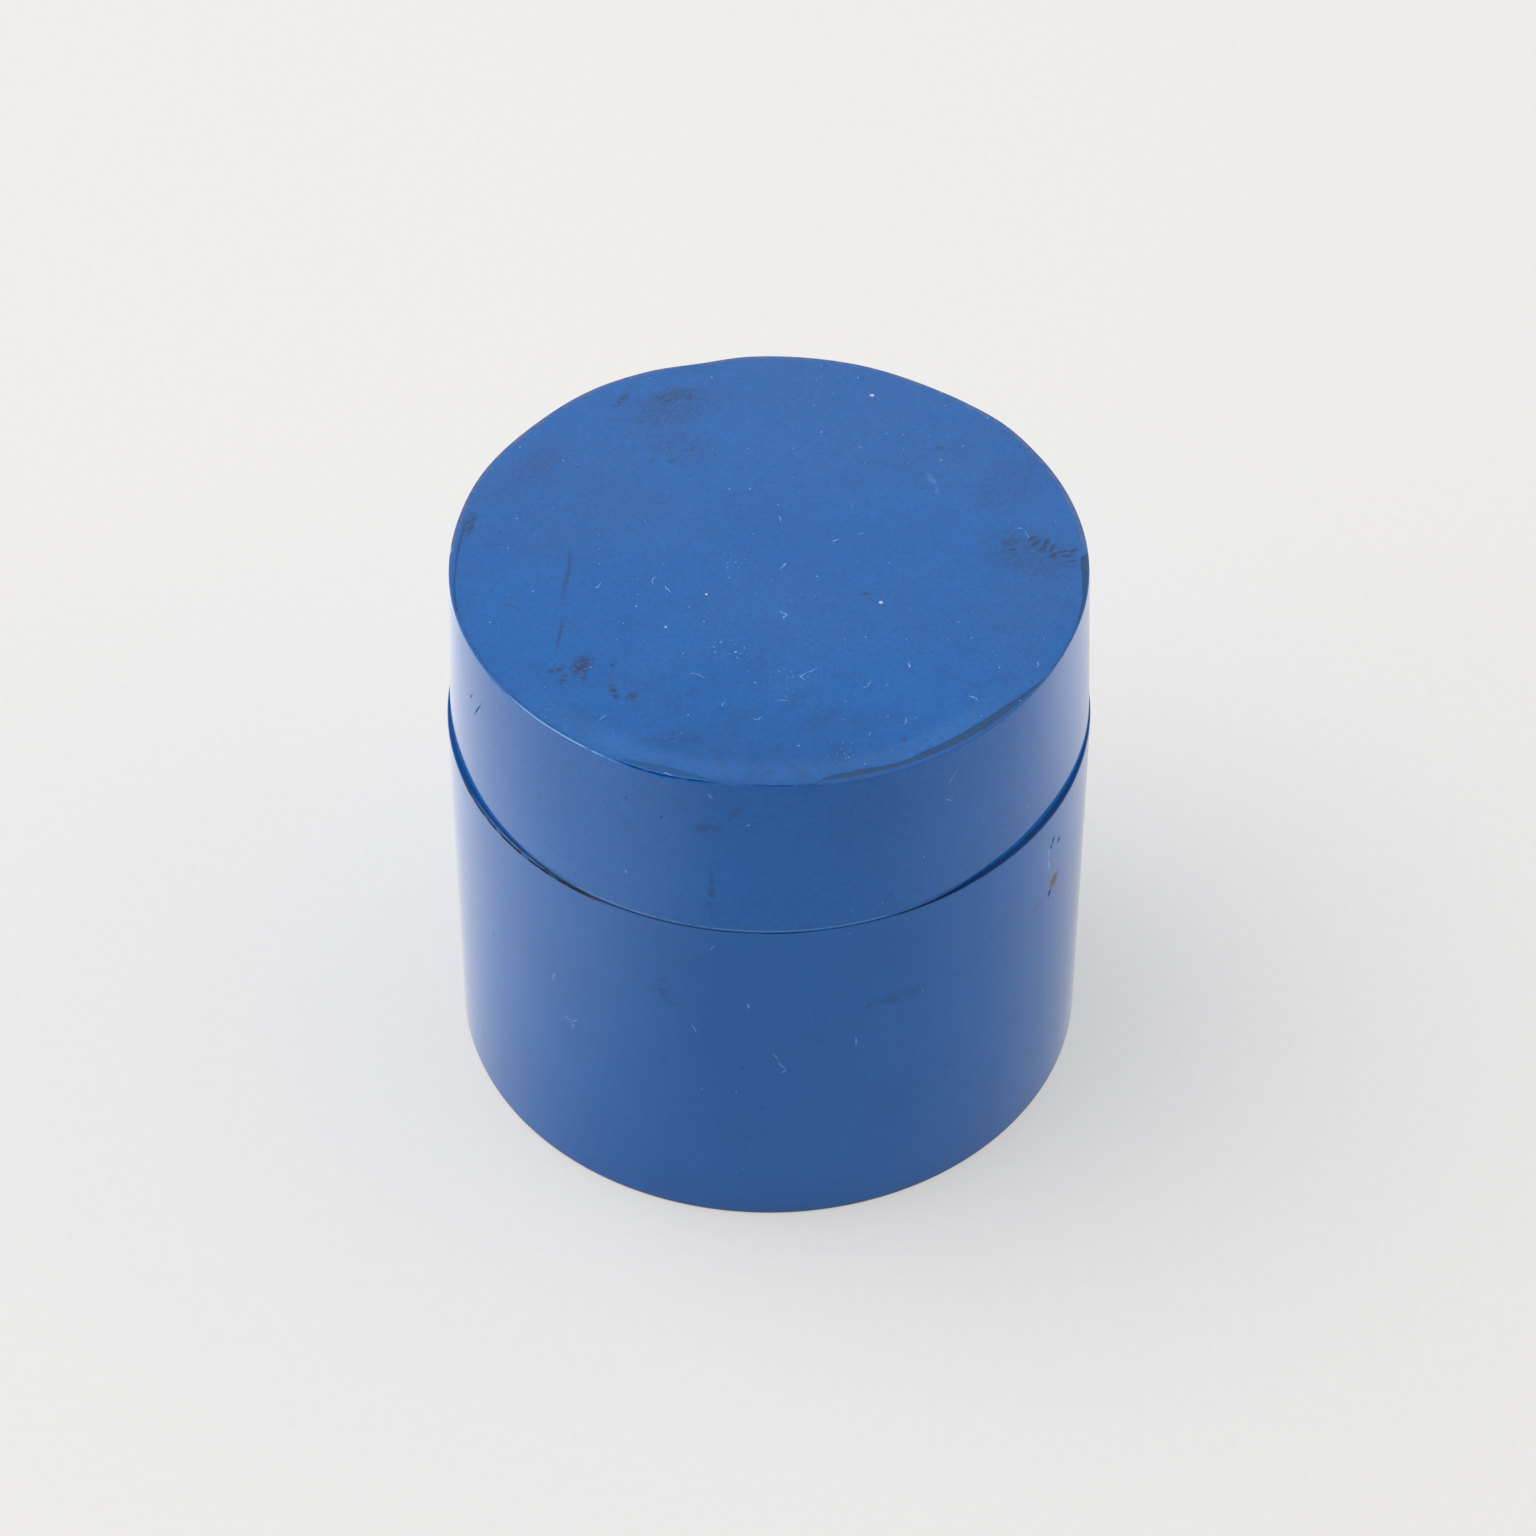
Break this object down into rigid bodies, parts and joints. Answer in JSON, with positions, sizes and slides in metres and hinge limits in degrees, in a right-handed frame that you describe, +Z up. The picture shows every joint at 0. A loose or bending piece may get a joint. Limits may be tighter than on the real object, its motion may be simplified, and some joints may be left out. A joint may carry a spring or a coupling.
{
  "type": "lidded jar",
  "caption": "Small straight-sided cylindrical jar in deep blue glazed ceramic, with a flat-topped slip-on lid that stands on a ledge around a raised inner neck.",
  "frame": {"origin": "centre of the jar's foot, on the surface that it stands on", "axes": "+Z up along the axis of the jar and the lid; -Y towards the picture's camera"},
  "size_m": [0.05, 0.05, 0.0466],
  "materials": {
    "jar_glaze": "smooth deep blue glaze, glossy on the wall, with light scuffs",
    "lid_glaze": "smooth deep blue glaze, satin and scuffed on the flat top, worn to a dull brown along the top edge"
  },
  "bodies": {
    "jar": {"jar_body": "jar_glaze"},
    "lid": {"lid": "lid_glaze"}
  },
  "joints": [
    {"name": "lid_lift", "type": "slide", "parent": "jar", "child": "lid", "axis": [0, 0, 1], "range_m": [0, 0.03]}
  ]
}
